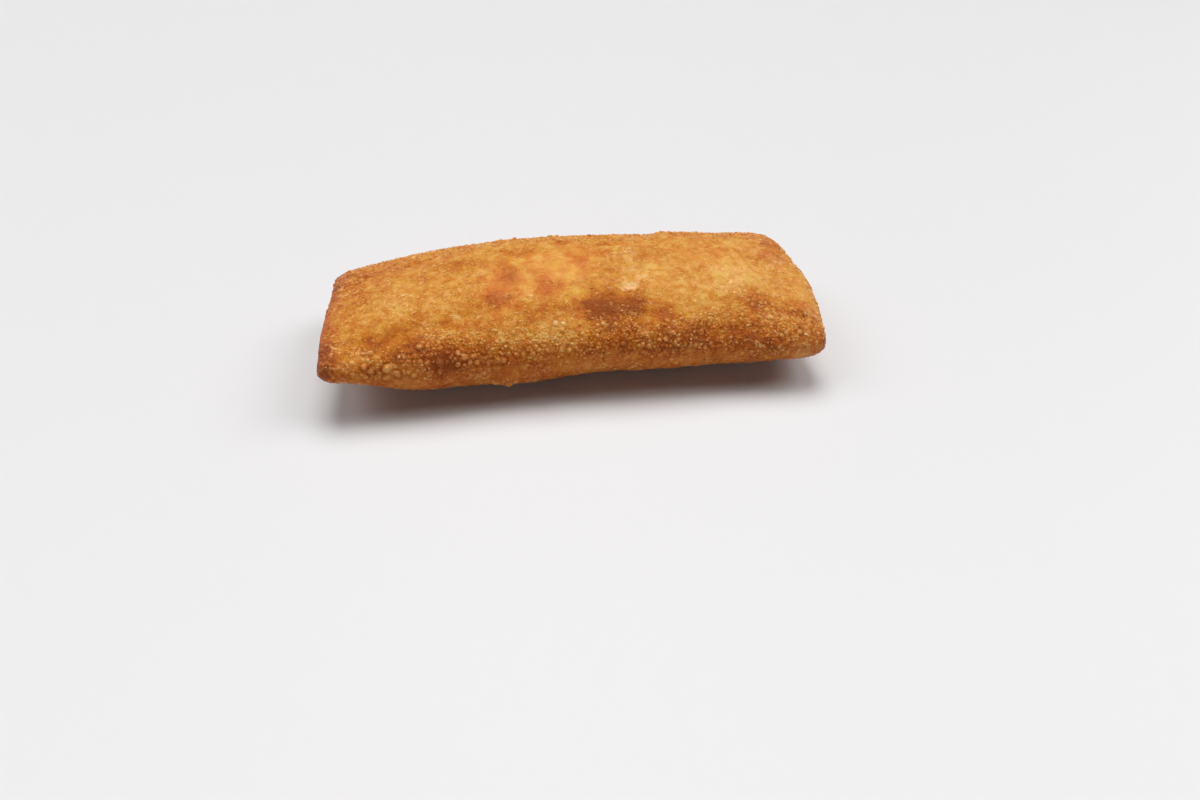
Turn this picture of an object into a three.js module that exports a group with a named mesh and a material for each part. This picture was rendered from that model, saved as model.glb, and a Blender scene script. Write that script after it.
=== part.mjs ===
// A fried spring roll: one square wheat wrapper folded in at both ends, rolled round its filling and
// deep fried. It is shut all round, so it is a single solid.
// Millimetres, +X along the roll towards its thick end, +Y to the back, +Z up. The origin is at the
// middle of the roll's box, on the surface that it rests on.
import * as THREE from 'three';

// Driving dimensions
const LENGTH = 135.2;
const MID_WIDTH = 54;
const THIN_END_WIDTH = 54.2;
const THICK_END_WIDTH = 65.8;
const MID_HEIGHT = 27;
const THIN_END_TOP = 19.4;
const THIN_END_LIFT = 8.6;
const THICK_END_TOP = 22.3;
const THICK_END_LIFT = 4.1;
const THIN_END_SHIFT = -5; // the thin end lies further to the front
const THICK_END_SHIFT = 4.2; // the thick end lies further to the back
const MID_LEAN = 0.26; // share by which the top is higher at the back and lower at the front
const THIN_END_LEAN = -0.07;
const THICK_END_LEAN = 0.22;
const SETTLE = 0.7; // how far the soft underside flattens where it lies

// The form between those sizes: higher powers keep the middle's size for longer, or square a corner
const THIN_END_SQUARENESS = 14;
const THICK_END_SQUARENESS = 14;
const TOP_SQUARENESS = 2.22;
const UNDER_SQUARENESS = 2.2;
const WIDTH_POWER = 2.8;
const TOP_POWER = 2.4;
const LIFT_POWER = 2.8;
const SHIFT_POWER = 2;
const LEAN_POWER = 2;

// Folds of the wrapper
const END_BULGE = 2.2; // filling pushes each shut end out
const END_BULGE_POWER = 8;
const END_CREASE_DEPTH = 1.5; // the fold line across each end
const END_CREASE_WIDTH = 2.6;
const END_CREASE_LENGTH = 0.84; // share of the end's width
const END_CREASE_ONSET = 3; // the crease is full at 1 / 3 of the way in from the end's rim
const EAR_REACH = 1.8; // small ear that the fold leaves at the thin end's back corner
const EAR_ANGLE = 30;
const EAR_SPREAD = 24; // degrees
const EAR_POWER = 14;
const LAP_HEIGHT = 0.9; // edge of the outer layer, slanting over the top
const LAP_PLACE = 18.4;
const LAP_SLANT = 0.21; // millimetres along the roll for each degree towards the back
const LAP_FADE = 45;
const LAP_SOFTNESS = 1.2;
const VALLEY_DEPTH = 1.1; // hollow along the front shoulder, near the thin end
const VALLEY_PLACE = -45;
const VALLEY_LENGTH = 34;
const VALLEY_ANGLE = 136;
const VALLEY_SLANT = 0.27; // degrees round the roll for each millimetre along it
const VALLEY_SPREAD = 9; // degrees
const BELLY_HEIGHT = 1.9; // filling pushes the front out in two places
const BELLY_ANGLE = 207;
const BELLY_SPREAD = 30; // degrees
const BELLIES = [
  { place: -44, reach: 15 },
  { place: -18, reach: 13 },
];
const FLAP_HEIGHT = 0.8; // the last corner of the wrapper, stuck down over the back
const FLAP_TIP_PLACE = 6;
const FLAP_TIP_ANGLE = -52;
const FLAP_SLOPE = 1.15; // degrees round the roll for each millimetre along it
const FLAP_SOFTNESS = 1.6;
const FLAP_BLEND_ANGLE = 70; // where the flap runs into the layer above it
const FLAP_BLEND = 12;

const ROWS = 66; // rings from end to end
const COLUMNS = 48; // points round a ring
const CRUST_COLOUR = 0xb9752c;

const bump = (x, centre, reach) => Math.exp(-(((x - centre) / reach) ** 2));
const step = (x, softness) => 1 / (1 + Math.exp(-x / softness));
const blendFromMiddle = (middle, end, share, power) => end + (middle - end) * (1 - share ** power);

// Half a superellipse from end to end, seen from the side: its place along the roll (-1 to 1) and the
// share of the full cross-section there (0 at the middle of each end face).
function stationAt(turn) {
  const c = Math.cos(turn);
  const s = Math.sin(turn);
  const power = c > 0 ? THIN_END_SQUARENESS : THICK_END_SQUARENESS;
  const reach = (Math.abs(c) ** power + s ** power) ** (-1 / power);
  return { along: -c * reach, share: Math.min(s * reach, 1) };
}

// Rings an equal distance apart over the end faces and along the sides.
function evenlySpacedStations(count) {
  const samples = 4000;
  const path = [];
  let travelled = 0;
  for (let i = 0; i <= samples; i += 1) {
    const station = stationAt((Math.PI * i) / samples);
    if (i > 0) {
      const last = path[i - 1];
      const dx = (station.along - last.along) * (LENGTH / 2);
      const dr = (station.share - last.share) * (MID_HEIGHT / 2);
      travelled += Math.hypot(dx, dr);
    }
    path.push({ ...station, travelled });
  }
  const stations = [];
  let at = 0;
  for (let row = 0; row <= count; row += 1) {
    const wanted = (travelled * row) / count;
    while (at < samples && path[at].travelled < wanted) at += 1;
    stations.push(path[at]);
  }
  return stations;
}

// How far the folds stand proud of the plain form at a place along the roll and an angle round it:
// 0 degrees at the back, 90 on top, 180 at the front, -90 underneath.
function foldHeight(x, degrees) {
  const onTop = Math.max(Math.sin((degrees * Math.PI) / 180), 0);
  const pastLap = x - (LAP_PLACE - LAP_SLANT * (degrees - 90));
  const lapFade = THREE.MathUtils.clamp(1 - pastLap / LAP_FADE, 0, 1);
  const lap = LAP_HEIGHT * step(pastLap, LAP_SOFTNESS) * lapFade * Math.sqrt(onTop);

  const valleyAngle = VALLEY_ANGLE - VALLEY_SLANT * (x - VALLEY_PLACE);
  const valleyReach = bump(x, VALLEY_PLACE, VALLEY_LENGTH / 2);
  const valley = -VALLEY_DEPTH * bump(degrees, valleyAngle, VALLEY_SPREAD) * valleyReach;

  let belly = 0;
  for (const { place, reach } of BELLIES) {
    belly += BELLY_HEIGHT * bump(x, place, reach) * bump(degrees, BELLY_ANGLE, BELLY_SPREAD);
  }

  const signed = degrees > 180 ? degrees - 360 : degrees;
  const flapEdge = FLAP_TIP_ANGLE + FLAP_SLOPE * Math.abs(x - FLAP_TIP_PLACE);
  const belowBlend = step(FLAP_BLEND_ANGLE - signed, FLAP_BLEND);
  const flap = FLAP_HEIGHT * step(signed - flapEdge, FLAP_SOFTNESS) * belowBlend;
  return lap + valley + belly + flap;
}

function rollPoint({ along, share }, angle) {
  const thin = along < 0;
  const off = Math.abs(along);
  const width = blendFromMiddle(MID_WIDTH, thin ? THIN_END_WIDTH : THICK_END_WIDTH, off, WIDTH_POWER);
  const top = blendFromMiddle(MID_HEIGHT, thin ? THIN_END_TOP : THICK_END_TOP, off, TOP_POWER);
  const lift = (thin ? THIN_END_LIFT : THICK_END_LIFT) * off ** LIFT_POWER;
  const shift = (thin ? THIN_END_SHIFT : THICK_END_SHIFT) * off ** SHIFT_POWER;
  const middle = (top + lift) / 2;
  const halfHeight = (top - lift) / 2;

  const c = Math.cos(angle);
  const s = Math.sin(angle);
  const power = s > 0 ? TOP_SQUARENESS : UNDER_SQUARENESS;
  const reach = (Math.abs(c) ** power + Math.abs(s) ** power) ** (-1 / power);
  const lean = blendFromMiddle(MID_LEAN, thin ? THIN_END_LEAN : THICK_END_LEAN, off, LEAN_POWER);
  const tilt = s > 0 ? 1 + lean * c : 1;
  const degrees = ((angle * 180) / Math.PI + 360) % 360;

  let x = (along * LENGTH) / 2;
  const fold = foldHeight(x, degrees) * share;
  const ear = thin ? EAR_REACH * bump(degrees, EAR_ANGLE, EAR_SPREAD) * off ** EAR_POWER : 0;
  const y = shift + ((width / 2) * reach + fold + ear) * share * c;
  const z = middle + (halfHeight * reach * tilt + fold) * share * s;

  const onEndFace = Math.min(END_CREASE_ONSET * (1 - share), 1);
  const creaseReach = bump(y, shift, END_CREASE_LENGTH * (width / 2));
  const crease = END_CREASE_DEPTH * bump(z, middle, END_CREASE_WIDTH) * creaseReach * onEndFace;
  const bulge = END_BULGE * (1 - share * share) * off ** END_BULGE_POWER;
  x += Math.sign(along) * (bulge - crease + ear * share);
  return new THREE.Vector3(x, y, Math.max(z - SETTLE, 0));
}

// A closed grid: one point at each end, rings between them, and triangles that face outwards.
function rollGeometry() {
  const stations = evenlySpacedStations(ROWS);
  const points = [rollPoint(stations[0], 0)];
  for (let row = 1; row < ROWS; row += 1) {
    for (let column = 0; column < COLUMNS; column += 1) {
      points.push(rollPoint(stations[row], (2 * Math.PI * column) / COLUMNS));
    }
  }
  points.push(rollPoint(stations[ROWS], 0));

  const index = [];
  const at = (row, column) => 1 + (row - 1) * COLUMNS + (column % COLUMNS);
  const last = points.length - 1;
  for (let column = 0; column < COLUMNS; column += 1) {
    index.push(0, at(1, column + 1), at(1, column));
    index.push(last, at(ROWS - 1, column), at(ROWS - 1, column + 1));
    for (let row = 1; row < ROWS - 1; row += 1) {
      index.push(at(row, column), at(row, column + 1), at(row + 1, column));
      index.push(at(row, column + 1), at(row + 1, column + 1), at(row + 1, column));
    }
  }

  const geometry = new THREE.BufferGeometry().setFromPoints(points);
  geometry.setIndex(index);
  geometry.computeBoundingBox();
  const centre = geometry.boundingBox.getCenter(new THREE.Vector3());
  geometry.translate(-centre.x, -centre.y, 0);
  geometry.computeVertexNormals();
  return geometry;
}

const crust = new THREE.MeshStandardMaterial({
  color: CRUST_COLOUR,
  roughness: 0.5,
  metalness: 0,
});
const roll = new THREE.Mesh(rollGeometry(), crust);
roll.name = 'spring_roll';

const springRoll = new THREE.Group();
springRoll.add(roll);

export default springRoll;
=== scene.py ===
"""A whole deep fried spring roll on a pale table: a thick wheat wrapper, rolled flat, with a golden
crust full of small blisters. The food's own sizes are in millimetres and turn to metres when a mesh is
made. Angles round the roll are in degrees: 0 at the back, 90 on top, 180 in front, 270 underneath."""

import bpy
import numpy as np
from mathutils import Matrix, Vector


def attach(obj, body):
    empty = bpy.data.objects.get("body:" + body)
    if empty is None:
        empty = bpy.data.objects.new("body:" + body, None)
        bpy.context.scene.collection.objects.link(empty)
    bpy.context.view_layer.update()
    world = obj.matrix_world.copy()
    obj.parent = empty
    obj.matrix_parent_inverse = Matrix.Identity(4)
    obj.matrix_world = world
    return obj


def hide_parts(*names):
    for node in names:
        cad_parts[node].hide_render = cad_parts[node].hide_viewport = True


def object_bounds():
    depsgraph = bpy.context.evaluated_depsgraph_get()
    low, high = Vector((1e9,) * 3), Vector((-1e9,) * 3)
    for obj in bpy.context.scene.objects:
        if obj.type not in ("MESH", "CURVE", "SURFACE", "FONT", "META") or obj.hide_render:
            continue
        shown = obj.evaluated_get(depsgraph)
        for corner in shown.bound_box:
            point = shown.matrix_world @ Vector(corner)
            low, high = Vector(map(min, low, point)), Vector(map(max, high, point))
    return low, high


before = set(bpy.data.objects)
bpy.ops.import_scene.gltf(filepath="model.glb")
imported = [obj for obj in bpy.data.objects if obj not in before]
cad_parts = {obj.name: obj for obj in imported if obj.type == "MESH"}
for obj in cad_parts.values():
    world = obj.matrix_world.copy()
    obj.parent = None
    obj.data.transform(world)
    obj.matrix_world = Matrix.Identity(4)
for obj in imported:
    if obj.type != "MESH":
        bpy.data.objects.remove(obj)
cad_low, cad_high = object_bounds()

# ---------------------------------------------------------------------------
# The rolled wrapper. One square sheet of wheat dough, folded in at both ends and rolled round the
# filling: a long cushion, thin and lifted at its left end and thick at its right end.
# ---------------------------------------------------------------------------
MM = 0.001
LENGTH = 135.2
MID_WIDTH = 54.0
THIN_END_WIDTH = 54.2
THICK_END_WIDTH = 65.8
MID_HEIGHT = 27.0
THIN_END_TOP = 19.4
THIN_END_LIFT = 8.6  # how far the end's underside is off the table
THICK_END_TOP = 22.3
THICK_END_LIFT = 4.1
THIN_END_SHIFT = -5.0  # the thin end lies further to the front, and the thick one to the back
THICK_END_SHIFT = 4.2
MID_LEAN = 0.26  # share by which the top is higher at the back and lower at the front
THIN_END_LEAN = -0.07
THICK_END_LEAN = 0.22
SETTLE = 0.7  # how far the soft underside flattens where it lies
END_SQUARENESS = 14.0
TOP_SQUARENESS = 2.22
UNDER_SQUARENESS = 2.2
WIDTH_POWER = 2.8
TOP_POWER = 2.4
LIFT_POWER = 2.8
SHIFT_POWER = 2.0
LEAN_POWER = 2.0

END_BULGE = 2.2  # filling pushes each shut end out
END_BULGE_POWER = 8
END_CREASE_DEPTH = 1.5  # the fold line across each end
END_CREASE_WIDTH = 2.6
END_CREASE_LENGTH = 0.84  # share of the end's width
END_CREASE_ONSET = 3.0  # the crease is full at 1 / 3 of the way in from the end's rim
EAR_REACH = 1.8  # small ear that the fold leaves at the thin end's back corner
EAR_ANGLE = 30.0
EAR_SPREAD = 24.0
EAR_POWER = 14
LAP_HEIGHT = 0.8  # edge of the outer layer, slanting over the top
LAP_PLACE = 18.4
LAP_SLANT = 0.21  # millimetres along the roll for each degree towards the back
LAP_FADE = 45.0
LAP_SOFTNESS = 0.7
VALLEY_DEPTH = 0.6  # hollow along the front shoulder, near the thin end
VALLEY_PLACE = -45.0
VALLEY_LENGTH = 34.0
VALLEY_ANGLE = 136.0
VALLEY_SLANT = 0.27  # degrees round the roll for each millimetre along it
VALLEY_SPREAD = 9.0
BELLY_HEIGHT = 1.9  # filling pushes the front out in two places
BELLY_ANGLE = 207.0
BELLY_SPREAD = 30.0
BELLIES = ((-44.0, 15.0), (-18.0, 13.0))  # place, reach
FLAP_HEIGHT = 0.9  # the last corner of the wrapper, stuck down over the back
FLAP_TIP_PLACE = 6.0
FLAP_TIP_ANGLE = -52.0
FLAP_SLOPE = 1.15  # degrees round the roll for each millimetre along it
FLAP_SOFTNESS = 0.9
FLAP_BLEND_ANGLE = 70.0  # where the flap runs into the layer above it
FLAP_BLEND = 12.0
TORN_WAVES = ((0.7, 9, 1), (0.45, 23, 2), (0.3, 47, 0))  # reach, waves round the roll, seed's share
STEEPEST = 40.0  # past this many times its softness a step is flat


def bump(x, centre, reach):
    """A bell that is 1 at its centre: e to the power of minus ((x - centre) / reach) squared."""
    return np.exp(-(((x - centre) / reach) ** 2))


def step(x, softness):
    """Rises from 0 to 1 round x = 0: 1 / (1 + e to the power of minus x / softness)."""
    return 1 / (1 + np.exp(-np.clip(x / softness, -STEEPEST, STEEPEST)))


def span(degrees, start, end, rise, fall):
    """1 between two angles and 0 outside them: a soft step up times a soft step down."""
    return step(degrees - start, rise) * step(end - degrees, fall)


def from_middle(middle, end, off, power):
    """A size that is middle in the middle and end at the end: end + (middle - end)(1 - off^power)."""
    return end + (middle - end) * (1 - off**power)


def from_back(degrees):
    """The same angle counted from -90 underneath through 0 at the back to 270."""
    return np.where(degrees > 270, degrees - 360, degrees)


def station(turn):
    """Half a superellipse from end to end: where the ring is along the roll, -1 to 1, and its share of
    the full cross-section. They are minus the turn's cosine and its sine, each over the p-th root of
    the sum of their p-th powers, where p is the squareness."""
    cosine, sine = np.cos(turn), np.sin(turn)
    reach = (np.abs(cosine) ** END_SQUARENESS + np.abs(sine) ** END_SQUARENESS) ** (-1 / END_SQUARENESS)
    return -cosine * reach, np.clip(sine * reach, 0, 1)


def wander(degrees, seed):
    """How far a torn edge strays, in millimetres along the roll or degrees round it: the sum of three
    sine waves of falling reach."""
    turn = np.radians(degrees)
    return sum(reach * np.sin(waves * turn + share * seed) for reach, waves, share in TORN_WAVES)


def fold_height(x, degrees):
    """How far the wrapper's folds stand proud, in millimetres: a step at the outer layer's edge, a
    hollow on the front shoulder, two bellies and the last corner, each a bell or a soft step."""
    on_top = np.clip(np.sin(np.radians(degrees)), 0, 1)
    past_lap = x - (LAP_PLACE - LAP_SLANT * (degrees - 90)) + wander(degrees, 1.0)
    lap_fade = np.clip(1 - past_lap / LAP_FADE, 0, 1)
    lap = LAP_HEIGHT * step(past_lap, LAP_SOFTNESS) * lap_fade * np.sqrt(on_top)

    valley_angle = VALLEY_ANGLE - VALLEY_SLANT * (x - VALLEY_PLACE)
    valley_reach = bump(x, VALLEY_PLACE, VALLEY_LENGTH / 2)
    valley = -VALLEY_DEPTH * bump(degrees, valley_angle, VALLEY_SPREAD) * valley_reach

    belly = sum(bump(x, place, reach) for place, reach in BELLIES)
    belly = BELLY_HEIGHT * belly * bump(degrees, BELLY_ANGLE, BELLY_SPREAD)

    signed = np.where(degrees > 180, degrees - 360, degrees)
    flap_edge = FLAP_TIP_ANGLE + FLAP_SLOPE * np.abs(x - FLAP_TIP_PLACE) + wander(degrees, 2.0)
    below_blend = step(FLAP_BLEND_ANGLE - signed, FLAP_BLEND)
    flap = FLAP_HEIGHT * step(signed - flap_edge, FLAP_SOFTNESS) * below_blend
    return lap + valley + belly + flap


def rolled_form(turn, angle):
    """Points of the folded roll. The turn gives a place along it, and there the angle goes round a
    superellipse between the lift and the top; the end faces bulge, with a crease across each."""
    along, share = station(turn)
    off = np.abs(along)
    thin = along < 0
    width = from_middle(MID_WIDTH, np.where(thin, THIN_END_WIDTH, THICK_END_WIDTH), off, WIDTH_POWER)
    top = from_middle(MID_HEIGHT, np.where(thin, THIN_END_TOP, THICK_END_TOP), off, TOP_POWER)
    lift = np.where(thin, THIN_END_LIFT, THICK_END_LIFT) * off**LIFT_POWER
    shift = np.where(thin, THIN_END_SHIFT, THICK_END_SHIFT) * off**SHIFT_POWER
    middle = (top + lift) / 2

    cosine, sine = np.cos(angle), np.sin(angle)
    power = np.where(sine > 0, TOP_SQUARENESS, UNDER_SQUARENESS)
    reach = (np.abs(cosine) ** power + np.abs(sine) ** power) ** (-1 / power)
    lean = from_middle(MID_LEAN, np.where(thin, THIN_END_LEAN, THICK_END_LEAN), off, LEAN_POWER)
    tilt = np.where(sine > 0, 1 + lean * cosine, 1)
    degrees = np.degrees(angle) % 360

    x = along * LENGTH / 2
    fold = fold_height(x, degrees) * share
    ear = np.where(thin, EAR_REACH, 0) * bump(degrees, EAR_ANGLE, EAR_SPREAD) * off**EAR_POWER
    y = shift + (width / 2 * reach + fold + ear) * share * cosine
    z = middle + ((top - lift) / 2 * reach * tilt + fold) * share * sine

    on_end_face = np.clip(END_CREASE_ONSET * (1 - share), 0, 1)
    crease = END_CREASE_DEPTH * bump(z, middle, END_CREASE_WIDTH) * on_end_face
    crease *= bump(y, shift, END_CREASE_LENGTH * width / 2)
    bulge = END_BULGE * (1 - share**2) * off**END_BULGE_POWER
    x = x + np.sign(along) * (bulge - crease + ear * share)
    return np.stack(np.broadcast_arrays(x, y, np.maximum(z - SETTLE, 0)), axis=-1)


SMALL_TURN = 1e-4
TINY = 1e-9


def slopes(turn, angle):
    """How the form's points move for each radian of turn and of angle, by central differences."""
    along = rolled_form(turn + SMALL_TURN, angle) - rolled_form(turn - SMALL_TURN, angle)
    around = rolled_form(turn, angle + SMALL_TURN) - rolled_form(turn, angle - SMALL_TURN)
    return along / (2 * SMALL_TURN), around / (2 * SMALL_TURN)


def outward(turn, angle):
    """The form's outward unit normal: the cross product of its slopes round and along."""
    along, around = slopes(turn, angle)
    normal = np.cross(around, along)
    return normal / np.maximum(np.linalg.norm(normal, axis=-1, keepdims=True), TINY)


# Rings are an equal distance apart over the end faces and the sides. Round a ring the points are
# closest on the front, and further apart underneath.
RINGS = 378
RING_POINTS = 262
END_FACE_RADIUS = 20.0
FINE_TURNS = 4001
FINE_ANGLES = 2001
DENSE_FRONT = (122, 208, 6, 5)  # start and end, and how soft each is, in degrees
SPARSE_UNDER = (222, 325, 6, 8)
FRONT_CROWDING = 0.7
UNDER_THINNING = 0.45

fine_turn = np.linspace(0, np.pi, FINE_TURNS)
fine_along, fine_share = station(fine_turn)
turn_steps = np.hypot(np.diff(fine_along) * LENGTH / 2, np.diff(fine_share) * END_FACE_RADIUS)
turn_travel = np.concatenate([[0], np.cumsum(turn_steps)])
ring_turn = np.interp(np.linspace(0, turn_travel[-1], RINGS + 2)[1:-1], turn_travel, fine_turn)

fine_angle = np.linspace(0, 2 * np.pi, FINE_ANGLES)
middle_ring = rolled_form(np.full_like(fine_angle, np.pi / 2), fine_angle)
angle_steps = np.linalg.norm(np.diff(middle_ring, axis=0), axis=1)
angle_travel = np.concatenate([[0], np.cumsum(angle_steps)])
fine_degrees = np.degrees(fine_angle[1:])
crowding = 1 + FRONT_CROWDING * span(fine_degrees, *DENSE_FRONT)
crowding = crowding - UNDER_THINNING * span(fine_degrees, *SPARSE_UNDER)
point_travel = np.concatenate([[0], np.cumsum(angle_steps * crowding)])
even_travel = np.linspace(0, point_travel[-1], RING_POINTS, endpoint=False)
ring_angle = np.interp(even_travel, point_travel, fine_angle)

skin_turn = np.concatenate([[0.0], np.repeat(ring_turn, RING_POINTS), [np.pi]])
skin_angle = np.concatenate([[0.0], np.tile(ring_angle, RINGS), [0.0]])
skin_form = rolled_form(skin_turn, skin_angle)
form_middle = (skin_form.min(axis=0) + skin_form.max(axis=0)) / 2
form_middle[2] = 0
frame_middle = np.array([cad_low.x + cad_high.x, cad_low.y + cad_high.y, 2 * cad_low.z]) / (2 * MM)


NOISE_CELLS = 24  # cells on each side before the noise repeats
NOISE_START = 100  # keeps the roll away from the noise's own origin
NOISE_SHIFT = 0.37  # share of a cell by which each seed's cells are moved


def noise(points, size, seed):
    """Smooth noise from -1 to 1: random values at the corners of cells of that size, mixed across
    each cell by 3t^2 - 2t^3."""
    values = np.random.default_rng(seed).uniform(-1, 1, (NOISE_CELLS,) * 3)
    cells = points / size + NOISE_START + NOISE_SHIFT * seed
    low = np.floor(cells).astype(int)
    t = cells - low
    t = t * t * (3 - 2 * t)
    total = np.zeros(len(points))
    for corner in np.ndindex(2, 2, 2):
        weight = np.prod(np.where(corner, t, 1 - t), axis=1)
        index = (low + corner) % NOISE_CELLS
        total += weight * values[index[:, 0], index[:, 1], index[:, 2]]
    return total


def noises(points, table, start=0.0):
    """The start plus the noise of each row of a table, times the row's amount."""
    return sum((amount * noise(points, size, seed) for amount, size, seed in table), start)


def turn_at(place):
    """The turn whose ring lies that many millimetres along the roll."""
    return np.interp(place, fine_along * LENGTH / 2, fine_turn)


PATCH_EDGE = 1.3
PATCH_THROUGH = 9.0  # reach of a patch through the roll, in millimetres


def patch(points, place, degrees, length, width, tilt):
    """A patch on the wrapper, 1 in its middle: e to the minus (d squared)^edge, where d is the distance
    in half lengths along, half widths across and reaches through, turned by the tilt in degrees."""
    turn, angle = turn_at(place), np.radians(degrees)
    normal = outward(turn, angle)
    along = np.array([1.0, 0.0, 0.0])
    along = along - normal * (along @ normal)
    along = along / np.linalg.norm(along)
    across = np.cross(normal, along)
    cosine, sine = np.cos(np.radians(tilt)), np.sin(np.radians(tilt))
    way = points - rolled_form(turn, angle)
    a, b = way @ along, way @ across
    u = (a * cosine + b * sine) / (length / 2)
    v = (b * cosine - a * sine) / (width / 2)
    through = (way @ normal) / PATCH_THROUGH
    return np.exp(-((u**2 + v**2 + through**2) ** PATCH_EDGE))


# Browning of the crust, 0 for pale dough and 1 for dark brown. The front was nearest the hot oil. All
# the tables of patches have the columns of the first: sizes in millimetres, angles in degrees.
BASE_BROWNING = 0.285
FRONT_BROWNING = 0.25
BACK_BROWNING = 0.22
FRONT_FACE = 158  # degrees round the roll where the front and the back face start
BACK_FACE = 22
BROWNING_NOISE = ((0.06, 15, 11), (0.08, 2.3, 13))  # amount, size, seed
BROWN_PATCHES = (
    # place, degrees, length, width, tilt, amount
    (4.9, 125, 12.8, 15, 0, 0.49),
    (3.2, 129, 8, 9, 0, 0.26),
    (9, 120.5, 7, 6, 0, 0.2),
    (14, 126.5, 8, 9, 10, 0.62),
    (43, 153, 12, 6, 0, 0.14),
    (31, 156, 12, 6, 0, 0.1),
    (-43, 152, 10, 7, 0, 0.24),
    (-48, 141, 10, 6, 0, 0.14),
    (-59, 132, 14, 10, 0, 0.12),
    (1, 80, 10, 8, 0, 0.12),
    (-3, 96, 10, 10, 0, 0.1),
    (-20, 98, 9, 10, 0, 0.4),
    (-23.5, 115, 10, 10, 0, 0.34),
    (-21, 121, 8, 6, 0, 0.16),
    (-9.6, 110, 8, 9, 20, 0.36),
    (-10.5, 127, 20, 4, 0, 0.14),
    (0.8, 88, 7, 5, 0, 0.26),
    (-34, 80, 16, 5, 0, 0.22),
    (-48, 129, 8, 6, 20, 0.26),
    (-54, 141, 9, 6, 10, 0.36),
    (-37, 170, 7, 8, 0, 0.6),
    (-35.8, 133, 5, 4, 0, 0.36),
    (-40, 105, 9, 8, 0, 0.1),
    (-67, 150, 7, 20, 0, 0.16),
    (-67, 167, 7, 10, 0, 0.42),
    (-68.5, 100, 6, 44, 0, 0.36),
    (-60, 74, 18, 12, 0, 0.2),
    (-60, 98, 12, 12, 0, 0.2),
    (-45, 146, 18, 9, 0, 0.18),
    (-59, 119, 9, 7, 0, 0.12),
    (-49, 131, 9, 5, 0, 0.1),
    (-32, 131, 12, 5, 0, 0.16),
    (-14, 136, 16, 6, 0, 0.24),
    (63, 70, 9, 10, 0, 0.37),
    (37, 80, 14, 7, 0, 0.1),
    (21, 135, 9, 4, 0, 0.42),
    (25, 149, 10, 9, 0, 0.26),
    (-17, 163, 12, 6, 0, 0.1),
    (-41, 124, 8, 7, 0, 0.1),
    (6, 151, 12, 6, 0, 0.18),
    (29, 130, 10, 3.5, 0, 0.1),
    (-30.5, 121, 6, 4, 0, 0.36),
    (66, 170, 5, 12, 0, 0.3),
    (48, 127, 18, 9, 0, 0.16),
    (60.6, 130, 7, 8, 0, 0.28),
    (-52, 66, 28, 7, 4, 0.2),
    (-31, 157, 20, 6, 0, 0.09),
    (16, 150, 30, 7, 0, 0.08),
    (38, 146, 22, 7, 0, 0.08),
    (56, 160, 16, 8, 0, 0.13),
    (-16, 75, 12, 4, -6, 0.36),
    (-3.5, 66, 6, 2.4, 0, 0.3),
    (9.5, 70, 9, 2.2, 0, 0.3),
    (56.8, 84, 6, 5, 0, 0.3),
    (20, 161, 26, 8, 0, 0.19),
    (41, 159, 18, 6, 0, 0.2),
    (-6, -12, 22, 9, 10, 0.3),
    (38, 4, 14, 8, -10, 0.35),
    (-40, -20, 18, 10, 0, 0.3),
    (20, -75, 40, 20, 0, 0.2),
    (-30, -80, 30, 22, 0, 0.2),
)
PALE_PATCHES = (
    (-7.5, 90, 18, 15, 0, 0.07),
    (-49.5, 110, 12, 12, 0, 0.12),
    (-9, 140, 12, 5, 0, 0.06),
    (1, 139, 10, 5, 0, 0.08),
    (-37, 144, 10, 5, 0, 0.18),
    (-63.5, 139, 7, 9, 0, 0.14),
    (-20, 145, 8, 6, 0, 0.12),
    (37, 135, 16, 6, 0, 0.12),
    (-15.5, 105, 5, 9, 0, 0.18),
    (-18.5, 171, 9, 6, 0, 0.14),
    (19.5, 152, 9, 6, 0, 0.1),
    (52, 74, 14, 7, 0, 0.1),
    (6, 186, 24, 8, 0, 0.1),
    (-60, 177, 10, 6, 0, 0.1),
    (-62, 174, 9, 6, 0, 0.16),
    (62, 178, 9, 8, 0, 0.2),
    (62, 90, 8, 7, 0, 0.15),
    (64, 123, 6, 12, 0, 0.14),
    (31, 132, 14, 6, 0, 0.11),
    (-1, 192, 10, 7, 0, 0.16),
    (43, 107, 16, 14, 0, 0.18),
    (24, 106, 16, 14, 0, 0.13),
    (-40, 155, 12, 6, 0, 0.06),
    (-56, 150, 9, 6, 0, 0.26),
    (-10, 146, 30, 8, 0, 0.2),
    (-10.5, 152, 12, 7, 0, 0.28),
    (58, 172, 16, 6, 0, 0.2),
    (-48, 173, 14, 8, 0, 0.15),
    (-13, 178, 18, 10, 0, 0.1),
    (30, 188, 30, 10, 0, 0.08),
)
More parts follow.
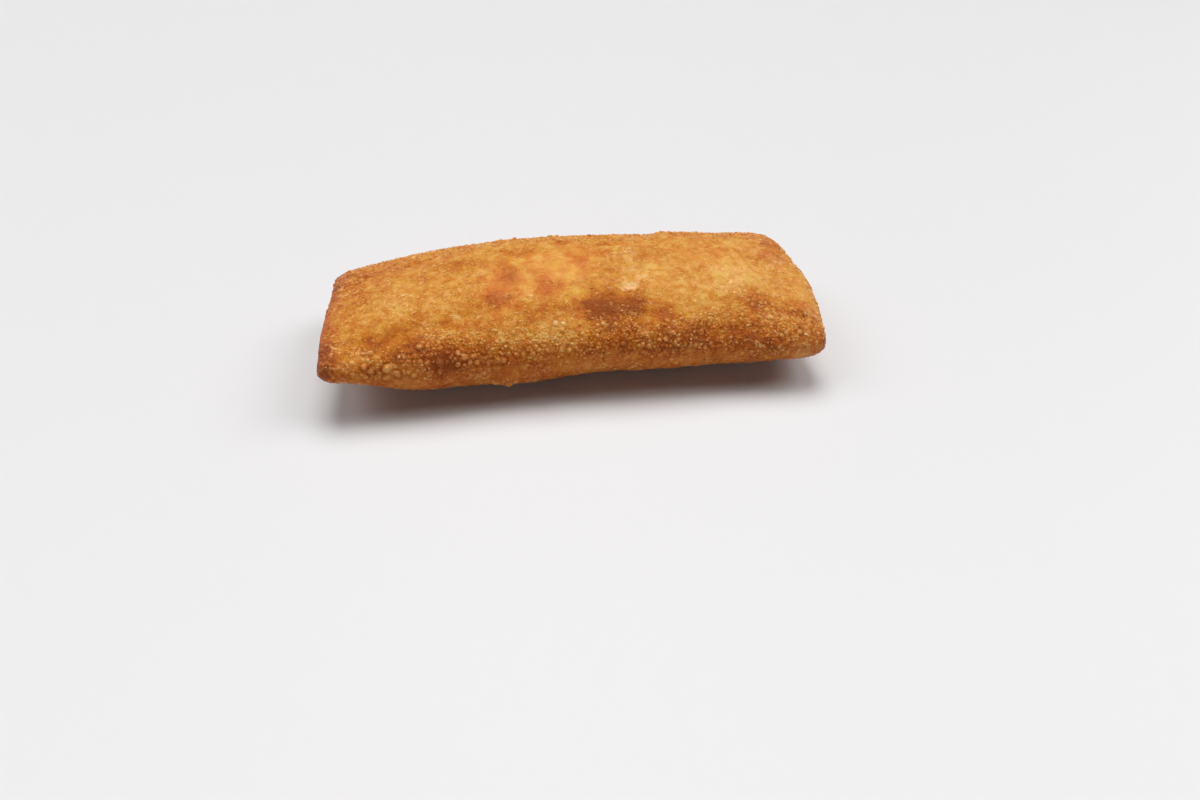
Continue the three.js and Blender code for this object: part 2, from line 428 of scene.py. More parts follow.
FLOURY_PATCHES = (
    (13.2, 112, 4.6, 3, 0, 0.85),
    (15.2, 109.5, 2.8, 2.6, 0, 0.5),
    (17.2, 105, 2.8, 3.2, 0, 0.9),
    (15.9, 96, 1.8, 7, 0, 0.45),
    (15.3, 88, 2.4, 5, 0, 0.5),
    (14.4, 79, 2.6, 3.4, 0, 0.4),
    (-14.6, 118, 7, 3.5, 0, 0.3),
    (-33.4, 128, 2.4, 1.8, 0, 0.9),
    (-44, 94, 10, 4, 0, 0.2),
    (-50, 106, 10, 7, 0, 0.22),
    (-40, 141, 14, 4, 0, 0.25),
    (-7.2, 140, 7, 3, 0, 0.3),
    (-56, 148, 7, 4, 0, 0.24),
    (44, 102, 14, 8, 0, 0.38),
    (42, 115, 11, 5, 0, 0.38),
    (61, 90, 9, 9, 0, 0.2),
    (64, 120, 6, 20, 0, 0.24),
    (-63.5, 139, 7, 9, 0, 0.2),
    (8.4, 109, 8, 7, 0, 0.22),
    (-31, 101, 10, 6, 0, 0.14),
    (2, 102, 8, 6, 0, 0.14),
    (-15.5, 104, 5, 9, 0, 0.15),
    (33, 114, 10, 5, 0, 0.2),
    (58, 176, 10, 4, 0, 0.25),
    (51, 139, 6, 4, 0, 0.3),
    (-22, 205, 7, 3, 0, 0.1),
)
ROSY_PATCHES = (
    (-68, 120, 8, 60, 0, 0.8),
    (-60, 72, 18, 10, 0, 0.4),
    (-22.5, 106, 9, 20, 0, 0.9),
    (-9.6, 110, 8, 9, 0, 0.8),
    (0.8, 88, 8, 6, 0, 0.7),
    (2, 130, 10, 8, 0, 0.4),
    (-37, 172, 12, 9, 0, 0.6),
    (22, 137, 6, 3, 0, 0.8),
    (57, 84, 9, 6, 0, 0.8),
    (62, 132, 6, 6, 0, 0.5),
    (67, 150, 5, 12, 0, 0.7),
    (40, 80, 18, 8, 0, 0.3),
)
ROSY_FRONT = 0.9
ROSY_FRONT_START = 160

# Where the skin is smooth and taut, with the least grain and the fewest pimples.
CALM_PATCHES = (
    (-7.5, 95, 23, 20, 0, 0.8),
    (-21, 106, 12, 20, 0, 0.5),
    (2, 80, 12, 12, 0, 0.4),
    (7, 124, 20, 9, 0, 0.1),
    (22, 105, 12, 14, 0, 0.35),
    (40, 88, 22, 14, 0, 0.4),
    (4, 188, 70, 12, 0, 0.55),
)


def patches(points, table):
    """The sum of a table's patches, each times its amount."""
    total = np.zeros(len(points))
    for place, degrees, length, width, tilt, amount in table:
        total += amount * patch(points, place, degrees, length, width, tilt)
    return total


def frayed(points, size, reach):
    """The points moved up to that reach by noise of that size, so that a patch gets a ragged edge."""
    return points + reach * np.stack([noise(points, size, seed) for seed in (51, 52, 53)], axis=-1)


def browning_of(points, degrees):
    """How brown the crust is: a base, more on the front and the back by soft steps round the roll, plus
    brown and less pale patches with ragged edges, plus noise of three sizes."""
    signed = from_back(degrees)
    ragged = frayed(points, size=3.2, reach=1.3)
    brown = BASE_BROWNING + FRONT_BROWNING * step(signed - FRONT_FACE, 7)
    brown = brown + BACK_BROWNING * step(BACK_FACE - signed, 9)
    brown = brown + patches(ragged, BROWN_PATCHES) - patches(ragged, PALE_PATCHES)
    drawn_out = noise(points * (0.6, 1, 1), 5, 12)
    return noises(points, BROWNING_NOISE, brown + 0.08 * drawn_out)


def flouriness_of(points):
    """How much pale dust lies on the crust: the patches listed in FLOURY_PATCHES, with finely ragged
    edges.
    """
    return patches(frayed(points, size=1.6, reach=1.2), FLOURY_PATCHES)


def rosiness_of(points, degrees):
    """How far the crust's gold leans to red, 0 to 1: rosy patches, and a soft step to the low front."""
    return patches(points, ROSY_PATCHES) + ROSY_FRONT * step(from_back(degrees) - ROSY_FRONT_START, 6)


# The blistered band: where it starts and ends round the roll, in degrees, and how that bends along it.
BAND_START = 143
BAND_START_BENDS = ((-22, 46, 14), (-6, 12, 9), (-6, -38, 9), (4, -50, 8))  # degrees, place, reach
BAND_END = 186
BAND_END_BENDS = ((-14, 34, 24), (6, -50, 12))
LAST_BLISTERS = 215
PAST_BAND = 0.25  # share of the blisters that goes on past the band's end
THIN_END_GAP = (-50, 20)  # place and reach of a stretch with fewer blisters low on the front
THIN_END_GAP_SHARE = 0.4
# amount, degrees, spread
FAINT_BANDS = ((0.6, 50, 13), (0.55, 2, 22), (0.25, -80, 60), (0.25, 222, 25))
END_BLISTERING = 0.36
END_BLISTERS_START = 62.5
LEAST_BLISTERING = 0.07
BLISTER_CLUSTERS = ((0.65, 8, 21), (0.5, 3.5, 22))  # amount, size, seed


def blistering_of(points, degrees):
    """How thickly the crust is blistered, 0 to 1: a band along the front shoulder between soft steps,
    fainter bands as bells round the roll, more at the ends, and all of it broken up by noise."""
    x = points[:, 0]
    signed = from_back(degrees)
    start = sum((bend * bump(x, place, reach) for bend, place, reach in BAND_START_BENDS), BAND_START)
    end = sum((bend * bump(x, place, reach) for bend, place, reach in BAND_END_BENDS), BAND_END)
    past_end = PAST_BAND + (1 - PAST_BAND) * step(end - signed, 4)
    band = step(signed - start, 2.5) * past_end * step(LAST_BLISTERS - signed, 6)
    band *= 1 - THIN_END_GAP_SHARE * bump(x, *THIN_END_GAP) * step(signed - FRONT_FACE, 4)
    faint = sum(amount * bump(signed, centre, spread) for amount, centre, spread in FAINT_BANDS)
    ends = END_BLISTERING * step(np.abs(x) - END_BLISTERS_START, 1.6) * (1 - band)
    least = LEAST_BLISTERING + 0.05 * noise(points, 6, 23)
    return np.clip((least + band + faint + ends) * noises(points, BLISTER_CLUSTERS, 1.0), 0, 1)


# Dents and swellings of the sheet between the filling's lumps, in millimetres.
DENTS = (
    # place, degrees, length, width, tilt, height
    (38, 155, 22, 8, 0, -0.9),
    (53, 92, 4, 6, 0, -0.7),
    (56.5, 85, 7, 6, 0, 0.6),
    (-52, 138, 12, 5, 15, -0.2),
    (-16, 74, 14, 3, -6, -0.35),
    (8, 62, 10, 6, 0, -0.5),
    (33, 112, 12, 7, 0, -0.3),
    (-33, 128, 8, 4, 0, -0.25),
    (-22.5, 204, 7, 4, 0, 0.6),
    (54.7, 206, 2.5, 4, 0, -0.5),
    (-14, 110, 14, 8, 0, -0.25),
    (-66.8, 186, 6, 8, 0, 0.8),
    (67, 150, 9, 9, 0, -0.9),
    (67, 105, 9, 18, 0, 0.7),
    (-36, 58, 20, 8, 0, -0.4),
    (60.6, 133, 4.2, 4.2, 0, 0.9),
    (-3.5, 66, 6, 2.5, 0, -0.3),
    (9.5, 70, 9, 2.5, 0, -0.3),
    (-63, 60, 9, 11, 0, 0.9),
)
FADE_HEIGHT = 1.5
LUMPS = ((0.38, 17, 1), (0.2, 7.5, 2), (0.05, 2.2, 3))  # height, size, seed
WRINKLE_HEIGHT = 0.12
PEBBLE_HEIGHT = 0.02
BLISTERED_PEBBLE_HEIGHT = 0.05
POLE_SHARE = 0.02  # rings smaller than this share count as the middle of an end face


def crust_relief(points, blistering):
    """Height of the crust over the folded form, in millimetres: dents, lumps of the filling and
    wrinkles as noise of falling sizes, and a pebbled grain where the crust is blistered."""
    wrinkles = WRINKLE_HEIGHT * (1 - 2 * np.abs(noise(points * (0.45, 1, 1), 3.4, 5)))
    pebbles = (PEBBLE_HEIGHT + BLISTERED_PEBBLE_HEIGHT * blistering) * noise(points, 1.1, 4)
    height = patches(points, DENTS) + wrinkles * (1 - 0.6 * blistering) + pebbles
    return noises(points, LUMPS, height)


def crust_points(turn, angle):
    """The finished crust: the folded form moved out along its normal by the relief, faded out where
    the roll lies, and kept above the table. Also its normals, form, degrees and blistering."""
    form = rolled_form(turn, angle)
    degrees = np.degrees(angle) % 360
    blistering = blistering_of(form, degrees)
    normal = outward(turn, angle)
    poles = station(turn)[1] < POLE_SHARE
    normal[poles] = np.sign(form[poles, :1]) * (1, 0, 0)
    height = crust_relief(form, blistering) * np.clip(form[:, 2] / FADE_HEIGHT, 0, 1)
    moved = form + normal * height[:, None]
    moved[:, 2] = np.maximum(moved[:, 2], 0)
    return moved, normal, form, degrees, blistering


def new_piece(name, points, faces, attributes):
    """A smooth mesh object in the frame's metres, with one number per point for each attribute."""
    mesh = bpy.data.meshes.new(name)
    mesh.from_pydata(((points - form_middle + frame_middle) * MM).tolist(), [], faces)
    for title, values in attributes.items():
        mesh.attributes.new(title, "FLOAT", "POINT").data.foreach_set("value", values.astype(np.float32))
    mesh.shade_smooth()
    mesh.update()
    piece = bpy.data.objects.new(name, mesh)
    bpy.context.scene.collection.objects.link(piece)
    return piece


def fan(middle, ring, count):
    """Triangles from a middle point to a ring of count points that starts at index ring."""
    here = np.arange(count)
    return np.stack([np.full(count, middle), ring + (here + 1) % count, ring + here], axis=-1)


skin_points, skin_normal, skin_form, skin_degrees, skin_blistering = crust_points(skin_turn, skin_angle)
ring_start = 1 + np.arange(RINGS - 1)[:, None] * RING_POINTS
near = ring_start + np.arange(RING_POINTS)
beside = ring_start + (np.arange(RING_POINTS) + 1) % RING_POINTS
skin_quads = np.stack([near, beside, beside + RING_POINTS, near + RING_POINTS], axis=-1).reshape(-1, 4)
last_ring = 1 + (RINGS - 1) * RING_POINTS
first_fan = fan(0, 1, RING_POINTS)
last_fan = fan(last_ring + RING_POINTS, last_ring, RING_POINTS)[:, ::-1]

# Large blisters, 1.5 to 2.5 mm across, that stand out singly. A dip runs round each, darkened with
# painted shade.
DIP_PLACE = 1.15  # in radii of the blister
DIP_WIDTH = 0.3
DIP_DEPTH = 0.05
# painted shade: how much darker the dip round each large blister is painted
DIP_SHADE = 0.2
# painted shade: the skin is darker where it is blistered, and shows only in the gaps between the domes
BLISTER_GAP_SHADE = 0.12
LARGE_BLISTERS = (
    # place, degrees, diameter
    (-51.1, 170, 2.5),
    (-38.2, 170, 2.4),
    (-43.0, 150, 2.3),
    (-32.1, 166, 1.9),
    (-22.3, 174, 1.9),
    (-56.6, 164, 1.7),
    (-55.0, 172, 1.8),
    (-48.8, 178, 1.8),
    (-33.9, 174, 1.6),
    (-33.7, 160, 1.6),
    (-29.1, 174, 1.6),
    (-36.2, 159, 1.5),
    (-44.8, 182, 1.7),
    (-38.4, 180, 1.7),
    (-55.0, 148, 1.7),
    (-56.8, 148, 1.5),
    (-60.2, 70, 2.1),
    (-66.0, 72, 1.9),
    (-8.3, 140, 2.0),
    (-6.2, 140, 1.9),
    (3.3, 178, 1.8),
    (9.0, 162, 1.7),
    (20.7, 159, 1.8),
    (49.5, 119, 1.7),
    (50.9, 139, 1.9),
    (58.4, 154, 1.8),
    (24.1, 196, 1.8),
    (21.6, 141, 1.7),
)
large_place, large_degrees, large_size = np.array(LARGE_BLISTERS).T
large_turn, large_angle = turn_at(large_place), np.radians(large_degrees)
large_centre = rolled_form(large_turn, large_angle)


def round_large_blisters(points):
    """1 in the dip round each large blister: a bell of the distance from it in its own radii."""
    dip = np.zeros(len(points))
    for centre, size in zip(large_centre, large_size):
        close = np.flatnonzero(np.abs(points[:, 0] - centre[0]) < size)
        distance = np.linalg.norm(points[close] - centre, axis=1) / (size / 2)
        dip[close] = np.maximum(dip[close], bump(distance, DIP_PLACE, DIP_WIDTH))
    return dip


skin_dip = round_large_blisters(skin_form)
skin_points -= skin_normal * (DIP_DEPTH * skin_dip * (skin_points[:, 2] > FADE_HEIGHT))[:, None]
# the skin's brown level, plus painted shade in the dips round the large blisters
skin_browning_and_shade = browning_of(skin_form, skin_degrees) + DIP_SHADE * skin_dip
crust_skin = new_piece(
    "crust_skin",
    skin_points,
    skin_quads.tolist() + first_fan.tolist() + last_fan.tolist(),
    {
        # darker where blistered: painted shade in the gaps between the domes
        "browning": skin_browning_and_shade + BLISTER_GAP_SHADE * skin_blistering,
        "calm": patches(skin_form, CALM_PATCHES),
        "flour": flouriness_of(skin_form),
        "rosiness": rosiness_of(skin_form, skin_degrees),
        "crown": np.zeros(len(skin_form)),
        "blistering": skin_blistering,
    },
)


class Paint:
    """A socket of a material's node tree that can be written in sums: the operators on it add Math
    nodes, and node() adds any other node with its settings first and its inputs after."""

    def __init__(self, tree, socket=None):
        self.tree = tree
        self.socket = socket

    def node(self, kind, settings=None, inputs=None, output=0):
        """Any node: its settings are set first, then each input gets a value or a link."""
        made = self.tree.nodes.new("ShaderNode" + kind)
        for title, value in (settings or {}).items():
            if title == "stops":
                self.set_stops(made.color_ramp, value)
            else:
                setattr(made, title, value)
        for title, value in (inputs or {}).items():
            if isinstance(value, Paint):
                self.tree.links.new(value.socket, made.inputs[title])
            else:
                made.inputs[title].default_value = value
        return Paint(self.tree, made.outputs[output]) if made.outputs else made

    @staticmethod
    def set_stops(ramp, stops):
        """A colour ramp's places and colours."""
        while len(ramp.elements) < len(stops):
            ramp.elements.new(1.0)
        for element, (place, colour) in zip(ramp.elements, stops):
            element.position = place
            element.color = (*colour, 1.0)

    def maths(self, operation, first, second):
        """A Math node of two values or links."""
        return self.node("Math", {"operation": operation}, {0: first, 1: second})

    def __add__(self, other):
        return self.maths("ADD", self, other)

    def __radd__(self, other):
        return self.maths("ADD", other, self)

    def __sub__(self, other):
        return self.maths("SUBTRACT", self, other)

    def __rsub__(self, other):
        return self.maths("SUBTRACT", other, self)

    def __mul__(self, other):
        return self.maths("MULTIPLY", self, other)

    def __rmul__(self, other):
        return self.maths("MULTIPLY", other, self)

    def between(self, low, high):
        """0 up to low and 1 from high, smooth in between."""
        inputs = {"Value": self, "From Min": low, "From Max": high}
        return self.node("MapRange", {"interpolation_type": "SMOOTHSTEP"}, inputs)

    def towards(self, other, share, blend="MIX"):
        """This colour mixed with another, or dyed by it, by a share. Sockets 6 and 7 are the colours."""
        settings = {"data_type": "RGBA", "blend_type": blend}
        return self.node("Mix", settings, {0: share, 6: self, 7: other}, output=2)


# The fried crust: pale dough yellow through gold and orange brown to dark brown. Blister tops are
# thin, dry and lighter, with a painted highlight on them too; the hollows between them hold oil and are
# darker, with painted shade added there.
CRUST_STOPS = (
    (0.0, (0.71, 0.385, 0.100)),
    (0.25, (0.63, 0.270, 0.040)),
    (0.5, (0.535, 0.167, 0.012)),
    (0.75, (0.42, 0.100, 0.004)),
    (1.0, (0.26, 0.048, 0.002)),
)
# pale colour of flour and flakes, also used as a painted glint on blister tops
FLOUR_AND_GLINT_COLOUR = (0.95, 0.56, 0.24, 1.0)
# pale colour of thin blister tops, also used as a painted highlight and glint
DRY_AND_GLINT_COLOUR = (0.80, 0.39, 0.145, 1.0)
ROSY_DYE = (1.0, 0.78, 0.95, 1.0)
YELLOW_DYE = (0.97, 1.1, 0.8, 1.0)
WISP_SIZE = 5.0 * MM
BLOTCH_SIZE = 3.2 * MM
MOTTLE_SIZE = 2.0 * MM
RIPPLE_SIZE = 3.6 * MM
FLECK_SIZE = 1.3 * MM
GRAIN_SIZE = 0.45 * MM
PIMPLE_CELL = 1.4 * MM
FROTH_CELL = 0.62 * MM
DRAWN_OUT = (0.75, 1.0, 1.0)
CLOUD_ROUGHNESS = 0.65
RELIEF_STRENGTH = 0.9
RELIEF_DEPTH = 0.28 * MM
CRUST_ROUGHNESS = 0.42
OIL_SHARE = 0.3
OIL_ROUGHNESS = 0.15
GLOW_SHARE = 0.3  # light that goes into the thin crust and comes out again
GLOW_RADIUS = (1.0, 0.4, 0.12)
GLOW_DEPTH = 0.8 * MM
SHINE_LEVEL = 0.36
SHINE_TINT = (1.0, 0.58, 0.18, 1.0)


def fried_crust():
    """Colour ramp over how brown the crust is and four sizes of noise, lighter on crowns, pimples and
    froth (pale thin tops and painted highlight) and darker between them (painted shade); bump of the same
    pimples and grain; roughness from noise, a thin oily coat."""
    material = bpy.data.materials.new("fried_crust")
    material.use_nodes = True
    tree = material.node_tree
    tree.nodes.clear()
    start = Paint(tree)
    where = start.node("TexCoord", output="Object")
    drawn_out = start.node("Mapping", inputs={"Vector": where, "Scale": DRAWN_OUT})

    def attribute(title):
        """A number that the mesh holds for each point."""
        return start.node("Attribute", {"attribute_name": title}, output="Fac")

    def cloudy(size, detail, distortion, vector=where):
        """Cloudy noise of that size about 0: noise less a half."""
        inputs = {"Vector": vector, "Scale": 1 / size, "Detail": detail, "Roughness": CLOUD_ROUGHNESS}
        return start.node("TexNoise", inputs={**inputs, "Distortion": distortion}) - 0.5

    def bubbles(size, most):
        """Round spots in cells of that size: the radius of each, and how plain it is, go by chance."""
        inputs = {"Vector": where, "Scale": 1 / size}
        distance = start.node("TexVoronoi", inputs=inputs, output="Distance")
        chance = start.node("TexVoronoi", inputs=inputs, output="Color")
        width = start.node("SeparateColor", inputs={"Color": chance}, output="Red")
        plain = start.node("SeparateColor", inputs={"Color": chance}, output="Green")
        roundness = 1 - distance.between(0.06, 0.22 + width * 0.3)
        return roundness * plain.between(most, most + 0.3), distance

    # the brown level that each point holds carries painted shade from the dips, the blistered gaps and
    # the dome rims
    browning, flour, crown = attribute("browning"), attribute("flour"), attribute("crown")
    blistering, rosiness = attribute("blistering"), attribute("rosiness")
    lively = 1 - attribute("calm")
    wisps, mottling = cloudy(WISP_SIZE, 4.0, 1.0, drawn_out), cloudy(MOTTLE_SIZE, 4.0, 0.3) * lively
    tint, grain = cloudy(BLOTCH_SIZE, 3.0, 0.7), cloudy(GRAIN_SIZE, 3.0, 0.0) * lively
    flecks = (cloudy(FLECK_SIZE, 1.0, 0.0) + wisps * 0.8).between(0.1, 0.2) * lively
    ripple = cloudy(RIPPLE_SIZE, 3.0, 1.0)
    edges = (1 - (ripple * ripple).between(0.0, 0.0006)) * (wisps + tint).between(0.0, 0.12) * lively
    pimples, pimple_distance = bubbles(PIMPLE_CELL, 0.62 - blistering * 0.5)
    froth, froth_distance = bubbles(FROTH_CELL, 0.5 - blistering * 0.4)
    pimples, froth = pimples * lively, froth * lively
    # painted shade in the gaps between the pimples and the froth
    pimple_gap_shade = pimple_distance.between(0.35, 0.8) * blistering
    gap_shade = pimple_gap_shade + froth_distance.between(0.4, 0.8) * (blistering + 0.15)

    # brown level, plus painted shade in the gaps, less the painted highlight on pimples, froth, crowns
    # and flecks
    brown = browning + wisps * 0.8 + tint * 0.6 + mottling * (1.2 - blistering * 0.3) + grain * 0.8
    brown = brown + gap_shade * 0.18 - pimples * 0.12 - froth * 0.12 - crown * 0.1 - flecks * 0.1 - edges * 0.1
    colour = start.node("ValToRGB", {"stops": CRUST_STOPS}, {"Fac": brown}, output="Color")
    colour = colour.towards(ROSY_DYE, (rosiness + tint * 4).between(0.0, 1.2), "MULTIPLY")
    yellowness = mottling - tint * 2 - rosiness * 0.5 - crown * 0.5
    colour = colour.towards(YELLOW_DYE, yellowness.between(0.0, 0.4), "MULTIPLY")
    clustered = 1.6 - tint.between(-0.13, 0.13) * 1.2
    # lighter crowns, pimples, froth, flecks and edges: partly pale thin tops, partly painted highlight
    # and glints
    dry_and_glint = (pimples * 0.34 + froth * 0.18 + crown * 0.2 + flecks * 0.42) * clustered + edges * 0.2
    toasted = brown.between(0.5, 1.1)
    colour = colour.towards(DRY_AND_GLINT_COLOUR, (dry_and_glint + rosiness * 0.07) * (1 - toasted * 0.5))
    # flour and flakes, and the painted glint on blister tops
    flour_and_glint_share = (flour * (1 + flecks * 1.6 + wisps * 3)).between(0.0, 1.5)
    colour = colour.towards(FLOUR_AND_GLINT_COLOUR, flour_and_glint_share * (1 - toasted * 0.6))

    bubbling = pimples * 0.6 + froth * 0.35 + crown * 0.6
    height = pimples * 0.6 + froth * 0.35 + grain * 1.2 + mottling * 2.2 + flecks * 0.4 + edges * 0.3
    relief = {"Strength": RELIEF_STRENGTH, "Distance": RELIEF_DEPTH, "Height": height}
    shader = start.node(
        "BsdfPrincipled",
        inputs={
            "Base Color": colour,
            "Roughness": CRUST_ROUGHNESS + mottling * 0.5 - bubbling.between(0.1, 0.8) * 0.16,
            "Normal": start.node("Bump", inputs=relief),
            "Coat Weight": (mottling + bubbling + flecks * 0.3).between(0.5, 1.0) * OIL_SHARE,
            "Coat Roughness": OIL_ROUGHNESS,
            "Subsurface Weight": GLOW_SHARE,
            "Subsurface Radius": GLOW_RADIUS,
            "Subsurface Scale": GLOW_DEPTH,
            "Specular IOR Level": SHINE_LEVEL,
            "Specular Tint": SHINE_TINT,
        },
    )
    start.node("OutputMaterial", inputs={"Surface": shader})
    return material


crust_material = fried_crust()
crust_skin.data.materials.append(crust_material)
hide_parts("spring_roll")
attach(crust_skin, "root")

# ---------------------------------------------------------------------------
# Blisters. Steam lifts the skin of the dough into bubbles of half a millimetre to two and a half, which
# dry and set in the oil. Each is a low dome grown into the crust.
# ---------------------------------------------------------------------------
LATTICE_SLANT = 0.87
LATTICE_SHIFT = 0.34
LOWEST_PLACE = 0.4  # millimetres above the table
LARGE_CLEARANCE = 0.5  # millimetres from the rim of a large blister
DOME_SINK = 0.05  # how far the rim of a dome is sunk into the crust
UNDER_SINK = 5 * DOME_SINK
DOME_STRETCH = (0.85, 1.18)
# painted shade: how much darker each dome is painted towards its rim
DOME_RIM_SHADE = 0.16
DOME_CHANCE_BROWNING = 0.08
DOME_BLISTERING = 0.3  # share of the crust's own pimples that domes carry
SMALLEST_SQUARE = 1e-6


def clear_of_large(points):
    """True where a point lies outside every large blister: further off than radius and clearance."""
    away = np.linalg.norm(points[:, None] - large_centre[None], axis=-1)
    return np.all(away > large_size / 2 + LARGE_CLEARANCE, axis=1)


def strewn(cell, least, more, random):
    """Turns and angles of places strewn over the wrapper: one for each cell of a slanted lattice in
    travel along and round it, moved by up to a third of a cell. Each is kept by chance, least + more
    times the blistering, times the cell's true area over its nominal one; none on a large blister."""
    columns = int(turn_travel[-1] / cell)
    rows = int(angle_travel[-1] / (cell * LATTICE_SLANT))
    column, row = (v.ravel() for v in np.meshgrid(np.arange(columns), np.arange(rows)))
    shift = random.uniform(-LATTICE_SHIFT, LATTICE_SHIFT, (2, column.size))
    along = (column + 0.5 * (row % 2) + 0.25 + shift[0]) * turn_travel[-1] / columns
    around = (row + 0.5 + shift[1]) * angle_travel[-1] / rows
    turn = np.interp(along, turn_travel, fine_turn)
    angle = np.interp(around % angle_travel[-1], angle_travel, fine_angle)
    points = rolled_form(turn, angle)
    turn_slope, angle_slope = slopes(turn, angle)
    area = np.linalg.norm(np.cross(turn_slope, angle_slope), axis=1)
    area *= np.interp(along, turn_travel[1:], np.diff(fine_turn) / np.diff(turn_travel))
    area *= np.interp(around, angle_travel[1:], np.diff(fine_angle) / np.diff(angle_travel))
    chance = least + more * blistering_of(points, np.degrees(angle) % 360)
    allowed = (points[:, 2] > LOWEST_PLACE) & clear_of_large(points)
    kept = random.uniform(0, 1, column.size) < chance * np.minimum(area, 1) * allowed
    return turn[kept], angle[kept]


def grown(name, turn, angle, size, height, flour, rings, spokes, ragged, power, random):
    """Fried domes on the crust. Each point is a distance r and a heading from its dome's centre; r times
    the half width, ragged by chance for each spoke, becomes steps of turn and angle through the form's
    slopes. Its height is (1 - r^2)^power, and a sunk point under each dome closes it."""
    turn_slope, angle_slope = slopes(turn, angle)
    turn_length = np.linalg.norm(turn_slope, axis=1)
    slant = np.sum(turn_slope * angle_slope, axis=1) / turn_length
    angle_length = np.sqrt(np.maximum(np.sum(angle_slope**2, axis=1) - slant**2, SMALLEST_SQUARE))

    r = np.concatenate([[0.0], np.repeat(np.sin(np.arange(1, rings + 1) / rings * np.pi / 2), spokes)])
    heading = np.concatenate([[0.0], np.tile(2 * np.pi * np.arange(spokes) / spokes, rings)])
    spoke_reach = 1 + ragged * random.uniform(-1, 1, (size.size, spokes))
    reach = np.concatenate([np.ones((size.size, 1)), np.tile(spoke_reach, (1, rings))], axis=1)
    stretch = random.uniform(*DOME_STRETCH, (size.size, 1))
    turned = random.uniform(0, np.pi, (size.size, 1))
    long = r * reach * np.cos(heading + turned) * stretch * size[:, None] / 2
    wide = r * reach * np.sin(heading + turned) / stretch * size[:, None] / 2
    a = long * np.cos(turned) + wide * np.sin(turned)
    b = wide * np.cos(turned) - long * np.sin(turned)
    angle_step = b / angle_length[:, None]
    turn_step = a / turn_length[:, None] - angle_step * (slant / turn_length)[:, None]
    points, normal, form, degrees, blistering = crust_points(
        (turn[:, None] + turn_step).ravel(), (angle[:, None] + angle_step).ravel()
    )
    dome = np.broadcast_to((1 - r**2).clip(0) ** power, a.shape)
    rise = dome * (height[:, None] + DOME_SINK) - DOME_SINK
    top = (points + normal * rise.ravel()[:, None]).reshape(a.shape + (3,))
    under = (points - normal * UNDER_SINK).reshape(a.shape + (3,))[:, :1]
    points = np.concatenate([top, under], axis=1)
    points[..., 2] = np.maximum(points[..., 2], 0)

    here = np.arange(spokes)
    there = (here + 1) % spokes
    faces = [fan(0, 1, spokes)[:, ::-1]]
    for inner in 1 + np.arange(rings - 1) * spokes:
        outer = inner + spokes
        faces.append(np.stack([inner + here, outer + here, outer + there], axis=-1))
        faces.append(np.stack([inner + here, outer + there, inner + there], axis=-1))
    faces.append(fan(points.shape[1] - 1, 1 + (rings - 1) * spokes, spokes))
    faces = np.concatenate(faces) + points.shape[1] * np.arange(size.size)[:, None, None]

    def with_under(values):
        """One value for each point, with each dome's middle value again for its sunk point."""
        values = values.reshape(a.shape)
        return np.concatenate([values, values[:, :1]], axis=1).ravel()

    own_brown = DOME_CHANCE_BROWNING * random.normal(0, 1, (size.size, 1))
    # painted shade round the foot of each dome, where it meets the crust
    rim_shade = DOME_RIM_SHADE * blistering.reshape(a.shape) * (1 - dome)
    piece = new_piece(
        name,
        points.reshape(-1, 3),
        faces.reshape(-1, 3).tolist(),
        {
            "browning": with_under(browning_of(form, degrees).reshape(a.shape) + own_brown + rim_shade),
            "calm": with_under(patches(form, CALM_PATCHES)),
            # real flour, plus a painted glint at the top of some domes
            "flour": with_under(flouriness_of(form).reshape(a.shape) + flour[:, None] * dome**2),
            "rosiness": with_under(rosiness_of(form, degrees)),
            "crown": with_under(dome),
            "blistering": with_under(DOME_BLISTERING * blistering),
        },
    )
    piece.data.materials.append(crust_material)
    return piece


TAUT_TOP = (70, 140, 4, 5)  # start and end, and how soft each is, in degrees
TAUT_LOWERING = 0.4  # blisters are lower on the taut top, by this share
MIDDLE_LEAST = 1.0
MIDDLE_SPREAD = 0.8
BLISTER_HEIGHTS = (0.26, 0.42)  # least and most, in radii
LARGE_RAISE = 1.2
# painted glint at the top of each large blister
LARGE_GLINT = 0.3

blister_random = np.random.default_rng(31)
middle_turn, middle_angle = strewn(cell=1.9, least=0.0, more=0.5, random=blister_random)
middle_size = MIDDLE_LEAST + MIDDLE_SPREAD * blister_random.uniform(0, 1, middle_turn.size) ** 2
blister_turn = np.concatenate([large_turn, middle_turn])
blister_angle = np.concatenate([large_angle, middle_angle])
blister_size = np.concatenate([large_size, middle_size])
blister_height = blister_size / 2 * blister_random.uniform(*BLISTER_HEIGHTS, blister_size.size)
blister_height *= 1 - TAUT_LOWERING * span(np.degrees(blister_angle), *TAUT_TOP)
blister_height[: large_size.size] *= LARGE_RAISE
# painted glint: a pale spot at the top of some blisters
blister_glint = blister_random.uniform(0, 1, blister_size.size) ** 4
blister_glint[: large_size.size] = LARGE_GLINT
blisters = grown(
    "blisters",
    blister_turn,
    blister_angle,
    blister_size,
    blister_height,
    blister_glint,
    rings=4,
    spokes=11,
    ragged=0.08,
    power=1.2,
    random=blister_random,
)
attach(blisters, "root")

SMALL_LEAST = 0.55
SMALL_SPREAD = 0.7
SMALL_HEIGHTS = (0.3, 0.55)  # least and most, in radii
# painted glint at the top of a few small blisters
SMALL_GLINT = 1.1
FRONT_PIECE = (115, 215)  # degrees: the small blisters are two pieces, front and back

small_random = np.random.default_rng(32)
small_turn, small_angle = strewn(cell=1.12, least=0.1, more=0.56, random=small_random)
small_size = SMALL_LEAST + SMALL_SPREAD * small_random.uniform(0, 1, small_turn.size) ** 1.4
small_height = small_size / 2 * small_random.uniform(*SMALL_HEIGHTS, small_size.size)
